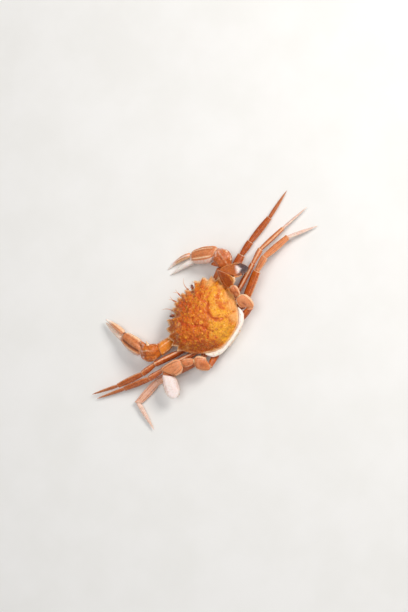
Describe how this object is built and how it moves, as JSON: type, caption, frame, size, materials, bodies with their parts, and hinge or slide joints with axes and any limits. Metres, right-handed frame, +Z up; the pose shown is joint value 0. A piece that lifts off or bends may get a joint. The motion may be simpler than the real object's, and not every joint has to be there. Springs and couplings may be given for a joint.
{
  "type": "cooked crab",
  "caption": "Whole cooked swimming crab lying on its underside, with a toothed domed shell, claws, slender legs and flat swimming paddles.",
  "frame": {"origin": "middle of the flat part of the folded tail flap under the body, where the crab rests", "axes": "+Z up out of the back shell, +Y out of the mouth, +X to the crab's own right"},
  "size_m": [0.2031, 0.0913, 0.0265],
  "materials": {
    "shell": "satin",
    "limbs": "satin",
    "underside": "satin",
    "paddles": "satin",
    "eyes": "gloss"
  },
  "bodies": {
    "root": {"carapace": "shell", "thorax": "underside", "tail_ring": "underside", "tail_flap": "underside", "eye_right": "eyes", "mouth_plate_right": "underside", "eye_left": "eyes", "mouth_plate_left": "underside", "claw_right_base": "limbs", "claw_right_arm": "limbs", "claw_right_wrist": "limbs", "claw_right_hand": "limbs", "claw_right_finger": "limbs", "leg2_right_base": "limbs", "leg2_right_thigh": "limbs", "leg2_right_knee": "limbs", "leg2_right_shin": "limbs", "leg2_right_tip": "limbs", "leg3_right_base": "limbs", "leg3_right_thigh": "limbs", "leg3_right_knee": "limbs", "leg3_right_shin": "limbs", "leg3_right_tip": "limbs", "leg4_right_base": "limbs", "leg4_right_thigh": "limbs", "leg4_right_knee": "limbs", "leg4_right_shin": "limbs", "leg4_right_tip": "limbs", "swim_right_base": "limbs", "swim_right_thigh": "limbs", "swim_right_knee": "limbs", "swim_right_shin": "limbs", "swim_right_paddle": "paddles", "claw_left_base": "limbs", "claw_left_arm": "limbs", "claw_left_wrist": "limbs", "claw_left_hand": "limbs", "claw_left_finger": "limbs", "leg2_left_base": "limbs", "leg2_left_thigh": "limbs", "leg2_left_knee": "limbs", "leg2_left_shin": "limbs", "leg2_left_tip": "limbs", "leg3_left_base": "limbs", "leg3_left_thigh": "limbs", "leg3_left_knee": "limbs", "leg3_left_shin": "limbs", "leg3_left_tip": "limbs", "leg4_left_base": "limbs", "leg4_left_thigh": "limbs", "leg4_left_knee": "limbs", "leg4_left_shin": "limbs", "leg4_left_tip": "limbs", "swim_left_base": "limbs", "swim_left_thigh": "limbs", "swim_left_knee": "limbs", "swim_left_shin": "limbs", "swim_left_paddle": "paddles"}
  },
  "joints": []
}
